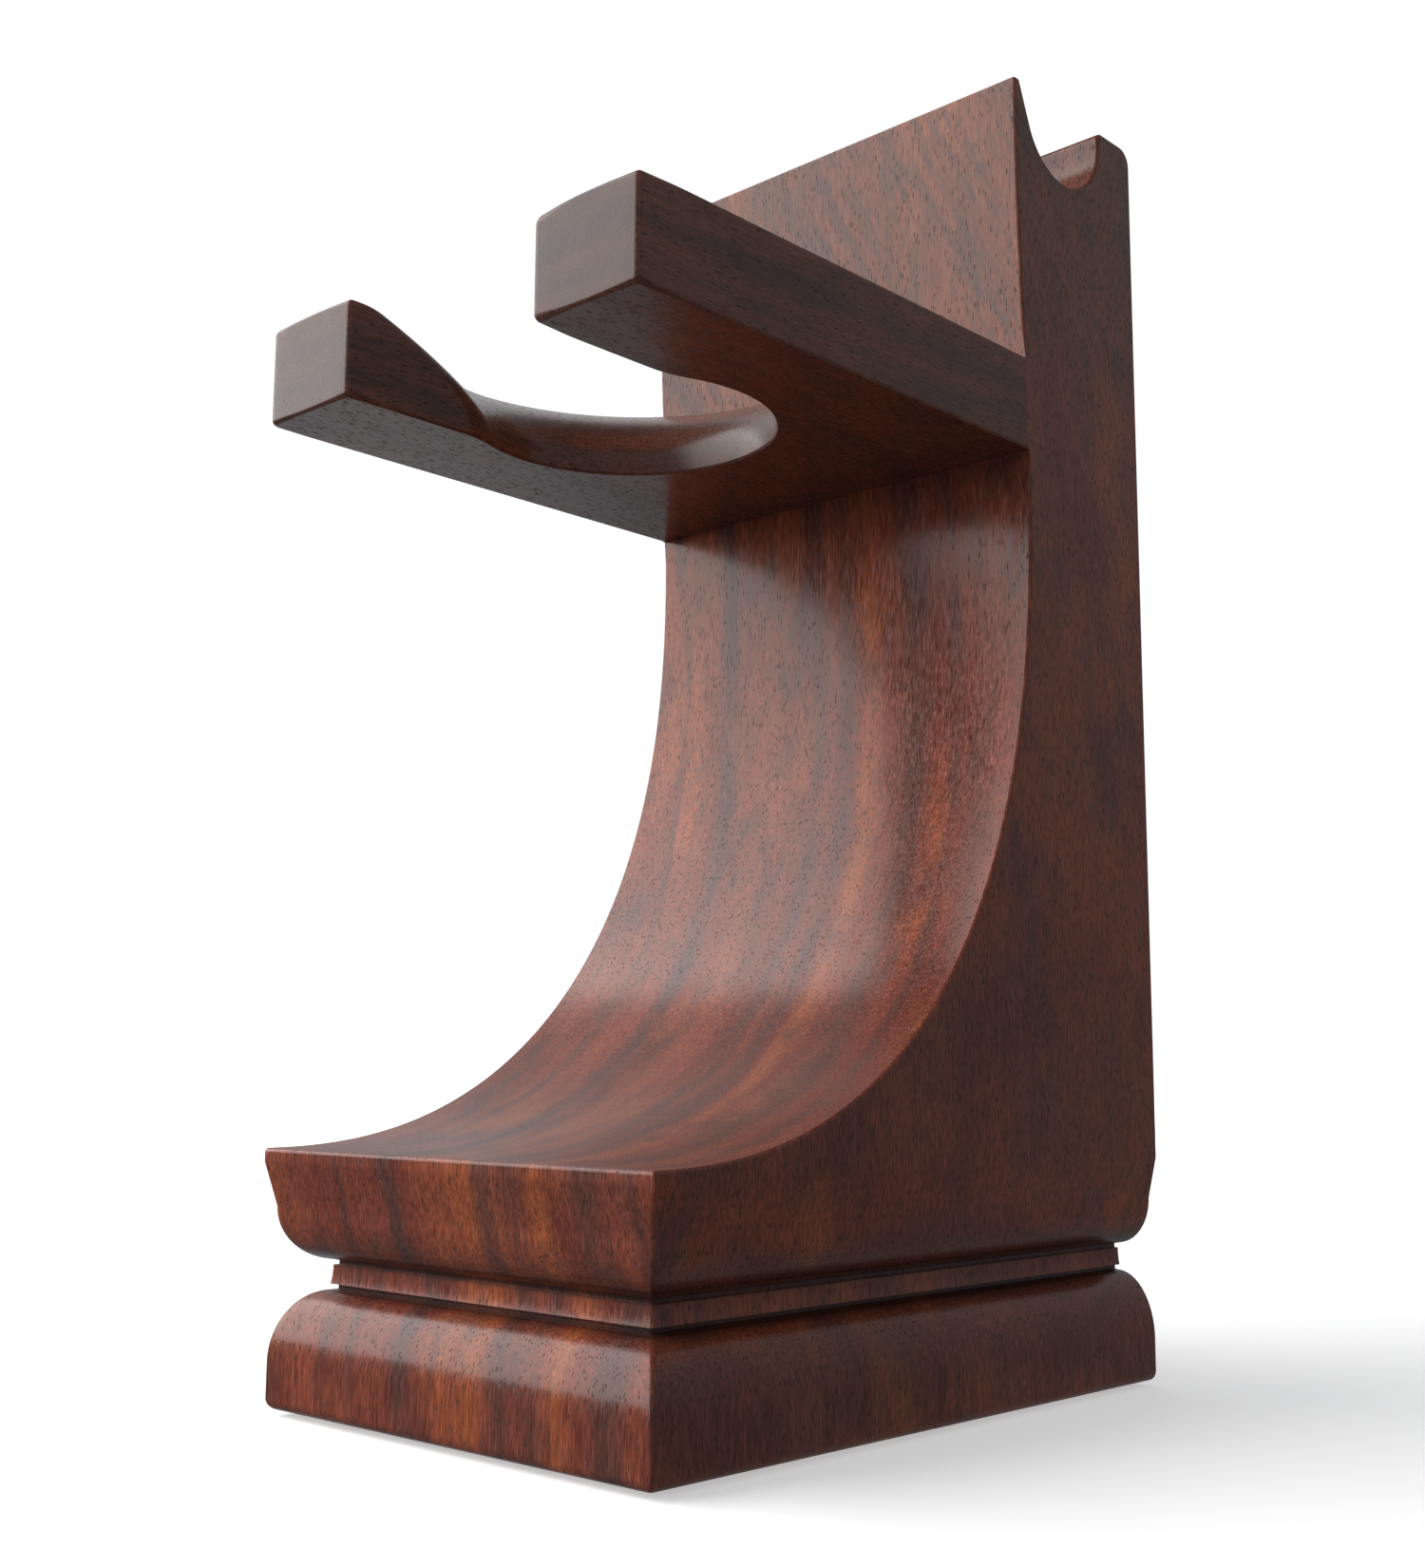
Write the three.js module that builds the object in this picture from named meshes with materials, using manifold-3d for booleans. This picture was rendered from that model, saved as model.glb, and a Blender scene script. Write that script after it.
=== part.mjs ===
// Wooden shaving stand: a brush hangs in the fork and a razor lies in the groove on top.
// Units are millimetres, +Z is up, -Y is the front. The origin is on the surface the stand
// rests on, under the middle of its overall box.
import * as THREE from 'three';
import { mergeVertices } from 'three/addons/utils/BufferGeometryUtils.js';
import Module from 'manifold-3d';

const wasm = await Module();
wasm.setup();

// ---- driving dimensions ----
const WIDTH = 54;             // across the stand, along X
const DEPTH = 80.5;           // fork tips to back face, along Y
const HEIGHT = 140;           // rest surface to the razor ridge
const FORK_OVERHANG = 3.05;   // fork tips stand in front of the ledge
const PAD_PROUD = 0.5;        // pads lift the wood off the surface
const FIT_GAP = 0.3;          // clearance between pieces that sit in each other
const JOINT_GAP = 0.1;        // glue line between the fork and the column

const HALF_WIDTH = WIDTH / 2;
const BACK = DEPTH / 2;
const FORK_TIP = -DEPTH / 2;
const BASE_FRONT = FORK_TIP + FORK_OVERHANG;

// base moulding, worked on the front and both sides; heights from the rest surface
const LEDGE_TOP = 25.3;
const LEDGE_PLUMB = 24;       // the ledge's edge is upright down to here
const LEDGE_TAPER = 1.0;      // then it leans in this much down to its lower round
const UPPER_ROUND_TOP = 19.7;
const NECK_TOP = 14.7;
const NECK_BOTTOM = 11.8;
const NECK_DEPTH = 5.0;
const QUIRK_HEIGHT = 0.55;    // fine grooves above and below the neck band
const QUIRK_DEPTH = 0.4;
const LOWER_ROUND_START = 5;
const FOOT_INSET = 0.7;       // the foot stands back from the ledge's edge
const FOOT_ROUND = 1.1;

// column and scoop: the scoop is a superellipse that starts level at the ledge's front edge
const SCOOP_POWER = 2.29;
const SCOOP_CENTRE_Z = 93.3;
const SCOOP_REACH_Y = 55.2;
const SCOOP_STEPS = 44;

// brush fork
const FORK_BOTTOM = 98.2;
const FORK_THICKNESS = 10.2;
const FORK_TOP = FORK_BOTTOM + FORK_THICKNESS;
const JOINT_Y = 17.6;         // face where the fork is glued to the column
const MOUTH_HALF_WIDTH = 13.5;
const POCKET_Y = -15.3;       // centre of the round pocket
const POCKET_RADIUS = 15.5;   // at the underside
const POCKET_FLARE = 9.9;     // extra radius at the top
const POCKET_FLARE_POWER = 2.5;
const TIP_OUTER_ROUND = 1.2;
const TIP_INNER_ROUND = 1.6;

// upright and razor groove
const RIDGE_FRONT = 16.5;
const RIDGE_FLAT = 1.0;
const GROOVE_CENTRE_Y = 26.1;
const GROOVE_CENTRE_Z = 138.1;
const GROOVE_RADIUS = 7.2;
const GROOVE_FRONT_TILT = THREE.MathUtils.degToRad(26);
const RIB_FRONT_ROUND = 1.0;
const RIB_BACK_ROUND = 2.0;

// hidden dowels and felt pads
const DOWEL_RADIUS = 2.5;
const DOWEL_LENGTH = 24;
const DOWEL_X = 17;
const DOWEL_CHAMFER = 0.6;
const PAD_RADIUS = 5;
const PAD_THICKNESS = 1.5;
const PAD_INSET = 12;         // pad centres from the base's edges

const CUT_OVERRUN = 1;        // cutters run on this far past the surface they cut

// ---- outlines ----
const point = (x, y) => new THREE.Vector2(x, y);

// Points on an elliptical arc, from one angle to another.
function arc(cx, cy, rx, ry, from, to, steps) {
  const points = [];
  for (let i = 0; i <= steps; i += 1) {
    const angle = from + ((to - from) * i) / steps;
    points.push(point(cx + rx * Math.cos(angle), cy + ry * Math.sin(angle)));
  }
  return points;
}

// Base moulding from the ledge's top edge down to the foot, as (inset, height) points.
function mouldingProfile() {
  const upper = arc(NECK_DEPTH, UPPER_ROUND_TOP, NECK_DEPTH - LEDGE_TAPER,
    UPPER_ROUND_TOP - NECK_TOP, Math.PI, 1.5 * Math.PI, 10);
  const quirk = NECK_DEPTH + QUIRK_DEPTH;
  const lower = arc(NECK_DEPTH, LOWER_ROUND_START, NECK_DEPTH - FOOT_INSET,
    NECK_BOTTOM - LOWER_ROUND_START, 0.5 * Math.PI, Math.PI, 12);
  const foot = arc(FOOT_INSET + FOOT_ROUND, PAD_PROUD + FOOT_ROUND, FOOT_ROUND, FOOT_ROUND,
    Math.PI, 1.5 * Math.PI, 5);
  return [
    point(0, LEDGE_TOP), point(0, LEDGE_PLUMB), ...upper,
    point(quirk, NECK_TOP), point(quirk, NECK_TOP - QUIRK_HEIGHT),
    point(NECK_DEPTH, NECK_TOP - QUIRK_HEIGHT), point(NECK_DEPTH, NECK_BOTTOM + QUIRK_HEIGHT),
    point(quirk, NECK_BOTTOM + QUIRK_HEIGHT), point(quirk, NECK_BOTTOM),
    ...lower, ...foot,
  ];
}

// The scoop's y at a given height, from the ledge's front edge back to the column.
function scoopY(z) {
  const rise = Math.abs(SCOOP_CENTRE_Z - z) / (SCOOP_CENTRE_Z - LEDGE_TOP);
  const reach = (1 - Math.min(rise, 1) ** SCOOP_POWER) ** (1 / SCOOP_POWER);
  return BASE_FRONT + SCOOP_REACH_Y * reach;
}

// The scoop from its top, under the fork, to the ledge's front edge, as (y, z) points.
function scoopProfile() {
  const points = [];
  const drop = SCOOP_CENTRE_Z - LEDGE_TOP;
  const topAngle = Math.asin((FORK_BOTTOM - SCOOP_CENTRE_Z) / drop);
  for (let i = 0; i < SCOOP_STEPS; i += 1) {
    const angle = topAngle - ((topAngle + Math.PI / 2) * i) / SCOOP_STEPS;
    const z = SCOOP_CENTRE_Z + drop * Math.sin(angle);
    points.push(point(scoopY(z), z));
  }
  return points;
}

// Front of the upright from the ridge down to the fork: it leans back near the fork.
function uprightProfile() {
  const points = [];
  const steps = 6;
  for (let i = 0; i <= steps; i += 1) {
    const t = 1 - i / steps;
    points.push(point(RIDGE_FRONT + (JOINT_Y - RIDGE_FRONT) * (1 - t) ** 2,
      FORK_TOP + (HEIGHT - FORK_TOP) * t));
  }
  return points;
}

// Razor groove from the rear rib to the ridge: upright rear wall, round bottom, sloping front.
function grooveProfile() {
  const ribFront = GROOVE_CENTRE_Y + GROOVE_RADIUS;
  const bottom = arc(GROOVE_CENTRE_Y, GROOVE_CENTRE_Z, GROOVE_RADIUS, GROOVE_RADIUS,
    0, -(Math.PI - GROOVE_FRONT_TILT), 20);
  return [
    ...arc(ribFront + RIB_FRONT_ROUND, HEIGHT - RIB_FRONT_ROUND, RIB_FRONT_ROUND, RIB_FRONT_ROUND,
      0.5 * Math.PI, Math.PI, 4),
    ...bottom,
    point(RIDGE_FRONT + RIDGE_FLAT, HEIGHT),
  ];
}

// Side outline of the body in (y, z), counter-clockwise from the back's foot.
function sideOutline() {
  const moulding = mouldingProfile().map((p) => point(BASE_FRONT + p.x, p.y));
  return [
    point(BACK, PAD_PROUD),
    ...arc(BACK - RIB_BACK_ROUND, HEIGHT - RIB_BACK_ROUND, RIB_BACK_ROUND, RIB_BACK_ROUND,
      0, 0.5 * Math.PI, 6),
    ...grooveProfile(), ...uprightProfile(),
    point(JOINT_Y, FORK_BOTTOM), ...scoopProfile(), ...moulding,
  ];
}

// Front outline of the body in (x, z): the same moulding on both sides, plain sides above.
function frontOutline() {
  const moulding = mouldingProfile();
  const left = moulding.map((p) => point(-HALF_WIDTH + p.x, p.y));
  const right = moulding.map((p) => point(HALF_WIDTH - p.x, p.y)).reverse();
  return [...right, point(HALF_WIDTH, HEIGHT + CUT_OVERRUN),
    point(-HALF_WIDTH, HEIGHT + CUT_OVERRUN), ...left];
}

// Plan outline of the fork in (x, y): a board with a parallel mouth cut in from the front.
function forkOutline() {
  const back = JOINT_Y - JOINT_GAP;
  const innerX = MOUTH_HALF_WIDTH + TIP_INNER_ROUND;
  const outerX = HALF_WIDTH - TIP_OUTER_ROUND;
  const rightTip = [
    ...arc(innerX, FORK_TIP + TIP_INNER_ROUND, TIP_INNER_ROUND, TIP_INNER_ROUND,
      Math.PI, 1.5 * Math.PI, 5),
    ...arc(outerX, FORK_TIP + TIP_OUTER_ROUND, TIP_OUTER_ROUND, TIP_OUTER_ROUND,
      1.5 * Math.PI, 2 * Math.PI, 5),
  ];
  const leftTip = rightTip.map((p) => point(-p.x, p.y)).reverse();
  return [
    ...leftTip, point(-MOUTH_HALF_WIDTH, POCKET_Y), point(MOUTH_HALF_WIDTH, POCKET_Y),
    ...rightTip, point(HALF_WIDTH, back), point(-HALF_WIDTH, back),
  ];
}

// ---- solids ----
function extrude(outline, length) {
  const shape = new THREE.Shape(outline);
  return new THREE.ExtrudeGeometry(shape, { depth: length, bevelEnabled: false });
}

// Places an extrusion: its two outline axes become u and v, starting at the given corner.
function oriented(geometry, u, v, start) {
  const w = new THREE.Vector3().crossVectors(u, v);
  const placed = new THREE.Matrix4().makeBasis(u, v, w).setPosition(start);
  return geometry.applyMatrix4(placed);
}

function toManifold(geometry) {
  const bare = geometry.clone();
  bare.deleteAttribute('normal');
  bare.deleteAttribute('uv');
  const merged = mergeVertices(bare, 1e-4);
  return new wasm.Manifold(new wasm.Mesh({
    numProp: 3,
    vertProperties: new Float32Array(merged.attributes.position.array),
    triVerts: new Uint32Array(merged.index.array),
  }));
}

function toGeometry(solid) {
  const mesh = solid.getMesh();
  const geometry = new THREE.BufferGeometry();
  geometry.setAttribute('position', new THREE.BufferAttribute(mesh.vertProperties, 3));
  geometry.setIndex(new THREE.BufferAttribute(mesh.triVerts, 1));
  return geometry;
}

function cylinderY(radius, length, x, y, z) {
  const geometry = new THREE.CylinderGeometry(radius, radius, length, 24);
  return geometry.translate(x, y, z);
}

function cylinderZ(radius, length, x, y, z) {
  const geometry = new THREE.CylinderGeometry(radius, radius, length, 32);
  return geometry.rotateX(Math.PI / 2).translate(x, y, z);
}

const X_AXIS = new THREE.Vector3(1, 0, 0);
const Y_AXIS = new THREE.Vector3(0, 1, 0);
const Z_AXIS = new THREE.Vector3(0, 0, 1);

const dowelPlaces = [-DOWEL_X, DOWEL_X];
const dowelZ = FORK_BOTTOM + FORK_THICKNESS / 2;
const baseMiddleY = (BASE_FRONT + BACK) / 2;
const padReachX = HALF_WIDTH - PAD_INSET;
const padReachY = (BACK - BASE_FRONT) / 2 - PAD_INSET;

// Takes the dowel holes out of a piece that lies behind (+1) or in front (-1) of the joint.
function boredForDowels(solid, side) {
  const length = DOWEL_LENGTH / 2 + FIT_GAP;
  let bored = solid;
  for (const x of dowelPlaces) {
    const bore = cylinderY(DOWEL_RADIUS + FIT_GAP, length + CUT_OVERRUN, x,
      JOINT_Y + (side * (length - CUT_OVERRUN)) / 2, dowelZ);
    bored = bored.subtract(toManifold(bore));
  }
  return bored;
}

// Base, column and upright, carved from one block: the side outline crossed with the front
// outline, so that the mouldings meet in mitres at the two front corners.
function standBody() {
  const side = oriented(extrude(sideOutline(), WIDTH + 2 * CUT_OVERRUN), Y_AXIS, Z_AXIS,
    new THREE.Vector3(-HALF_WIDTH - CUT_OVERRUN, 0, 0));
  const front = oriented(extrude(frontOutline(), DEPTH + 2 * CUT_OVERRUN), X_AXIS, Z_AXIS,
    new THREE.Vector3(0, BACK + CUT_OVERRUN, 0));
  let solid = toManifold(side).intersect(toManifold(front));
  solid = boredForDowels(solid, 1);
  const recessTop = PAD_THICKNESS + FIT_GAP;
  for (const [x, y] of padPlaces()) {
    const recess = cylinderZ(PAD_RADIUS + FIT_GAP, recessTop + CUT_OVERRUN, x, y,
      (recessTop - CUT_OVERRUN) / 2);
    solid = solid.subtract(toManifold(recess));
  }
  return toGeometry(solid);
}

// The pocket that cradles the brush, as a solid of revolution flaring upwards.
function pocketCutter() {
  const steps = 9;
  const profile = [point(0, FORK_BOTTOM - CUT_OVERRUN),
    point(POCKET_RADIUS, FORK_BOTTOM - CUT_OVERRUN)];
  for (let i = 0; i <= steps; i += 1) {
    const t = i / steps;
    profile.push(point(POCKET_RADIUS + POCKET_FLARE * t ** POCKET_FLARE_POWER,
      FORK_BOTTOM + FORK_THICKNESS * t));
  }
  profile.push(point(POCKET_RADIUS + POCKET_FLARE, FORK_TOP + CUT_OVERRUN),
    point(0, FORK_TOP + CUT_OVERRUN));
  const lathe = new THREE.LatheGeometry(profile, 64);
  return lathe.rotateX(Math.PI / 2).translate(0, POCKET_Y, 0);
}

function brushFork() {
  const board = oriented(extrude(forkOutline(), FORK_THICKNESS), X_AXIS, Y_AXIS,
    new THREE.Vector3(0, 0, FORK_BOTTOM));
  const solid = toManifold(board).subtract(toManifold(pocketCutter()));
  return toGeometry(boredForDowels(solid, -1));
}

// A plain dowel with chamfered ends, turned about its own axis.
function dowel() {
  const half = DOWEL_LENGTH / 2;
  const neck = DOWEL_RADIUS - DOWEL_CHAMFER;
  const profile = [
    point(0, -half), point(neck, -half), point(DOWEL_RADIUS, -half + DOWEL_CHAMFER),
    point(DOWEL_RADIUS, half - DOWEL_CHAMFER), point(neck, half), point(0, half),
  ];
  return new THREE.LatheGeometry(profile, 20);
}

// A self-adhesive felt disc.
function feltPad() {
  return cylinderZ(PAD_RADIUS, PAD_THICKNESS, 0, 0, PAD_THICKNESS / 2);
}

function padPlaces() {
  const places = [];
  for (const sideX of [-1, 1]) {
    for (const sideY of [-1, 1]) places.push([sideX * padReachX, baseMiddleY + sideY * padReachY]);
  }
  return places;
}

// ---- materials and assembly ----
function material(color, roughness) {
  return new THREE.MeshStandardMaterial({ color, roughness, metalness: 0 });
}

const stand = new THREE.Group();

function addPiece(name, geometry, look, position = [0, 0, 0]) {
  const mesh = new THREE.Mesh(geometry, look);
  mesh.name = name;
  mesh.position.set(...position);
  stand.add(mesh);
}

addPiece('stand_body', standBody(), material(0x6b3524, 0.42));
addPiece('brush_fork', brushFork(), material(0x5a2e23, 0.42));

const dowelNames = ['fork_dowel_left', 'fork_dowel_right'];
dowelPlaces.forEach((x, i) => {
  addPiece(dowelNames[i], dowel(), material(0xc9a878, 0.7), [x, JOINT_Y, dowelZ]);
});

const padNames = ['felt_pad_front_left', 'felt_pad_back_left',
  'felt_pad_front_right', 'felt_pad_back_right'];
padPlaces().forEach(([x, y], i) => {
  addPiece(padNames[i], feltPad(), material(0x2b2420, 0.95), [x, y, 0]);
});

export default stand;
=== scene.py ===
"""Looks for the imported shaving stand: a carved rosewood block, a glued-on fork and felt feet.

Shapes are worked out in millimetres, in the part's own frame (+Z up, -Y the front, +X right),
and become metres when a mesh is made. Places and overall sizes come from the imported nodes.
"""
import math

import bmesh
import bpy
from mathutils import Matrix, Vector, noise


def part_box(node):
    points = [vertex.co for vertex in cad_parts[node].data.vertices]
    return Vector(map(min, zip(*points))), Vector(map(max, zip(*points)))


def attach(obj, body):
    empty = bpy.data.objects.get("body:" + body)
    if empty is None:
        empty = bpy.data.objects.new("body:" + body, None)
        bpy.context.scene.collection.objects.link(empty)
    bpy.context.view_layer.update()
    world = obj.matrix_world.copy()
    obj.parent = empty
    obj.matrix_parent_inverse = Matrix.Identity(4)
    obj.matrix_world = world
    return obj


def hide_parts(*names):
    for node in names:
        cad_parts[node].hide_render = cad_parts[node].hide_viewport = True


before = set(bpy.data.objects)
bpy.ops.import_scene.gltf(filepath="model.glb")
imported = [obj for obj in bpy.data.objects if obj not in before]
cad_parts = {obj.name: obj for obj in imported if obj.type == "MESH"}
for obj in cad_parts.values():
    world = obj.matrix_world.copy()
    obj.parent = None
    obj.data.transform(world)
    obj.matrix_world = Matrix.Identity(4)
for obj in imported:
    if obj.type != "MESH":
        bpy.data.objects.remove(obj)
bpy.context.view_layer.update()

MM = 0.001


def box_mm(node):
    low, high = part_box(node)
    return low / MM, high / MM


body_low, body_high = box_mm("stand_body")
fork_low, fork_high = box_mm("brush_fork")
HALF = body_high.x
FRONT = body_low.y
BACK = body_high.y
FOOT = body_low.z
TOP = body_high.z
TIP = fork_low.y
JOINT = fork_high.y + 0.1       # the column's face, behind a thin glue line
GLUE_LINE = 0.02                # what is left of it between the finished pieces
FIT_GAP = 0.3                   # clearance round the dowels and pads

# base moulding, as insets from the full width and heights above the rest surface
LEDGE_TOP = 25.3
LEDGE_PLUMB = 24.0
LEDGE_TAPER = 1.0
UPPER_ROUND_TOP = 19.7
NECK_TOP = 14.7
NECK_BOTTOM = 11.8
NECK_DEPTH = 5.0
QUIRK_HEIGHT = 0.55
QUIRK_DEPTH = 0.4
LOWER_ROUND_START = 5.0
FOOT_INSET = 0.7
FOOT_ROUND = 1.1

# scoop, upright and razor groove
SCOOP_POWER = 2.29
SCOOP_CENTRE_Z = 93.3
SCOOP_REACH = 55.2
RIDGE_FRONT = 16.5
RIDGE_FLAT = 1.0
GROOVE_Y = 26.1
GROOVE_Z = 138.1
GROOVE_RADIUS = 7.2
GROOVE_TILT = math.radians(26)
RIB_FRONT_ROUND = 1.0
RIB_BACK_ROUND = 2.0

# fork
MOUTH = 13.5
POCKET_Y = -15.3
POCKET_RADIUS = 15.5
POCKET_FLARE = 9.9
POCKET_FLARE_POWER = 2.5
LIP_BLEND = 2.5                 # how far the lip between mouth and pocket is rounded over

# how far hand sanding has softened the edges
EDGE = 0.35
LEDGE_EDGE = 0.4
JOINT_EDGE = 0.03
SHARP_ANGLE = 32                # degrees: edges that bend more than this stay crisp


# ---------------------------------------------------------------- outlines
def arc(cx, cy, rx, ry, start, end, steps):
    """Points on an elliptical arc, in degrees from start to end."""
    points = []
    for i in range(steps + 1):
        a = math.radians(start + (end - start) * i / steps)
        points.append((cx + rx * math.cos(a), cy + ry * math.sin(a)))
    return points


def line(a, b, steps):
    return [(a[0] + (b[0] - a[0]) * i / steps, a[1] + (b[1] - a[1]) * i / steps)
            for i in range(steps + 1)]


def joined(*runs):
    """Runs of points end to end, without the doubled points where they meet."""
    points = []
    for run in runs:
        for p in run:
            if not points or math.dist(points[-1], p) > 1e-4:
                points.append(p)
    return points


def softened(points, corners, radius, steps=3):
    """The same line with a small round at each listed corner."""
    out = []
    for i, p in enumerate(points):
        if not any(math.dist(p, c) < 1e-3 for c in corners) or i in (0, len(points) - 1):
            out.append(p)
            continue
        p, before, after = Vector(p), Vector(points[i - 1]), Vector(points[i + 1])
        a, b = (before - p).normalized(), (after - p).normalized()
        half = a.angle(b) / 2
        reach = min(radius / math.tan(half), 0.45 * (before - p).length, 0.45 * (after - p).length)
        start, end = p + a * reach, p + b * reach
        for k in range(steps + 1):
            t = k / steps
            q = start * (1 - t) ** 2 + p * 2 * t * (1 - t) + end * t * t
            out.append((q.x, q.y))
    return out


def moulding():
    """(inset, height) of the base moulding from the foot up to just under the ledge's edge."""
    edge_z = LEDGE_TOP - LEDGE_EDGE
    foot = FOOT_INSET + FOOT_ROUND
    quirk = NECK_DEPTH + QUIRK_DEPTH
    band = []
    for i in range(11):                 # the band leans back a little from its lower edge
        t = i / 10
        band.append((NECK_DEPTH - 0.17 * (1 - t) ** 2,
                     NECK_BOTTOM + QUIRK_HEIGHT + (NECK_TOP - NECK_BOTTOM - 2 * QUIRK_HEIGHT) * t))
    points = joined(
        arc(foot, FOOT + FOOT_ROUND, FOOT_ROUND, FOOT_ROUND, 270, 180, 8),
        line((FOOT_INSET, FOOT + FOOT_ROUND), (FOOT_INSET, LOWER_ROUND_START), 4),
        arc(NECK_DEPTH, LOWER_ROUND_START, NECK_DEPTH - FOOT_INSET,
            NECK_BOTTOM - LOWER_ROUND_START, 180, 90, 30),
        line((NECK_DEPTH, NECK_BOTTOM), (quirk, NECK_BOTTOM + 0.1), 1),
        line((quirk, NECK_BOTTOM + 0.1), (quirk, NECK_BOTTOM + QUIRK_HEIGHT), 1),
        band,
        line((quirk, NECK_TOP - QUIRK_HEIGHT), (quirk, NECK_TOP - 0.1), 1),
        line((quirk, NECK_TOP - 0.1), (NECK_DEPTH, NECK_TOP), 1),
        arc(NECK_DEPTH, UPPER_ROUND_TOP, NECK_DEPTH - LEDGE_TAPER, UPPER_ROUND_TOP - NECK_TOP,
            270, 180, 24),
        line((LEDGE_TAPER, UPPER_ROUND_TOP), (0, LEDGE_PLUMB), 6),
        line((0, LEDGE_PLUMB), (0, edge_z), 2),
    )
    return softened(points, [(0, LEDGE_PLUMB)], 3.0, 5)


def scoop_y(z):
    rise = abs(SCOOP_CENTRE_Z - z) / (SCOOP_CENTRE_Z - LEDGE_TOP)
    return FRONT + SCOOP_REACH * (1 - min(rise, 1) ** SCOOP_POWER) ** (1 / SCOOP_POWER)


def column_line():
    """(y, z) over the ledge's edge, up the scoop and the upright, across the razor groove and
    down the back to the height where it started."""
    edge_z = LEDGE_TOP - LEDGE_EDGE
    drop = SCOOP_CENTRE_Z - LEDGE_TOP
    scoop = []
    end = math.degrees(math.asin((fork_low.z - SCOOP_CENTRE_Z) / drop))
    steps = 120
    for i in range(steps + 1):
        a = math.radians(-90 + (end + 90) * i / steps)
        z = SCOOP_CENTRE_Z + drop * math.sin(a)
        if scoop_y(z) > FRONT + LEDGE_EDGE + 0.4:
            scoop.append((scoop_y(z), z))
    upright = []
    for i in range(25):
        t = i / 24
        upright.append((RIDGE_FRONT + (JOINT - RIDGE_FRONT) * (1 - t) ** 2,
                        fork_high.z + (TOP - fork_high.z) * t))
    ridge_back = (RIDGE_FRONT + RIDGE_FLAT, TOP)
    rib_front = GROOVE_Y + GROOVE_RADIUS
    tangent = 180 + math.degrees(GROOVE_TILT)
    groove_start = (GROOVE_Y + GROOVE_RADIUS * math.cos(math.radians(tangent)),
                    GROOVE_Z + GROOVE_RADIUS * math.sin(math.radians(tangent)))
    points = joined(
        arc(FRONT + LEDGE_EDGE, edge_z, LEDGE_EDGE, LEDGE_EDGE, 180, 90, 6),
        scoop,
        line(scoop[-1], (JOINT, fork_low.z), 1),
        line((JOINT, fork_low.z), (JOINT, fork_high.z), 8),
        upright,
        line((RIDGE_FRONT, TOP), ridge_back, 1),
        line(ridge_back, groove_start, 8),
        arc(GROOVE_Y, GROOVE_Z, GROOVE_RADIUS, GROOVE_RADIUS, tangent, 360, 34),
        line((rib_front, GROOVE_Z), (rib_front, TOP - RIB_FRONT_ROUND), 2),
        arc(rib_front + RIB_FRONT_ROUND, TOP - RIB_FRONT_ROUND, RIB_FRONT_ROUND, RIB_FRONT_ROUND,
            180, 90, 6),
        line((rib_front + RIB_FRONT_ROUND, TOP), (BACK - RIB_BACK_ROUND, TOP), 4),
        arc(BACK - RIB_BACK_ROUND, TOP - RIB_BACK_ROUND, RIB_BACK_ROUND, RIB_BACK_ROUND,
            90, 0, 9),
        line((BACK, TOP - RIB_BACK_ROUND), (BACK, edge_z), 70),
    )
    return softened(points, [(RIDGE_FRONT, TOP), ridge_back], EDGE, 4)


# ---------------------------------------------------------------- meshes
def outward(before, here, after):
    """Mitred outward normal of a line that has the wood on its right-hand side."""
    here, before, after = Vector(here), Vector(before), Vector(after)
    a, b = (here - before).normalized(), (after - here).normalized()
    na, nb = Vector((-a.y, a.x)), Vector((-b.y, b.x))
    return (na + nb) / max(1 + na.dot(nb), 0.3)


def new_object(name, bm, material, smooth_angle=SHARP_ANGLE):
    """Turns a bmesh in millimetres into a finished object in metres."""
    bmesh.ops.remove_doubles(bm, verts=bm.verts, dist=1e-5)
    bmesh.ops.recalc_face_normals(bm, faces=bm.faces)
    bmesh.ops.scale(bm, vec=Vector((MM, MM, MM)), verts=bm.verts)
    mesh = bpy.data.meshes.new(name)
    bm.to_mesh(mesh)
    bm.free()
    mesh.polygons.foreach_set("use_smooth", [True] * len(mesh.polygons))
    mesh.set_sharp_from_angle(angle=math.radians(smooth_angle))
    mesh.materials.append(material)
    obj = bpy.data.objects.new(name, mesh)
    bpy.context.scene.collection.objects.link(obj)
    return obj


def weighted(obj):
    """Lets the large flat faces set the shading normals at their rounded edges."""
    modifier = obj.modifiers.new("face_weights", "WEIGHTED_NORMAL")
    modifier.keep_sharp = True
    modifier.weight = 80
    return obj


def bored(obj, cutters):
    """Cuts round holes and bakes the cut into the mesh, so that no helper stays behind."""
    for cutter in cutters:
        modifier = obj.modifiers.new("bore", "BOOLEAN")
        modifier.operation = "DIFFERENCE"
        modifier.solver = "EXACT"
        modifier.object = cutter
    depsgraph = bpy.context.evaluated_depsgraph_get()
    mesh = bpy.data.meshes.new_from_object(obj.evaluated_get(depsgraph))
    obj.modifiers.clear()
    old, obj.data = obj.data, mesh
    bpy.data.meshes.remove(old)
    for cutter in cutters:
        bpy.data.objects.remove(cutter)
    mesh.set_sharp_from_angle(angle=math.radians(SHARP_ANGLE))
    return obj


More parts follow.
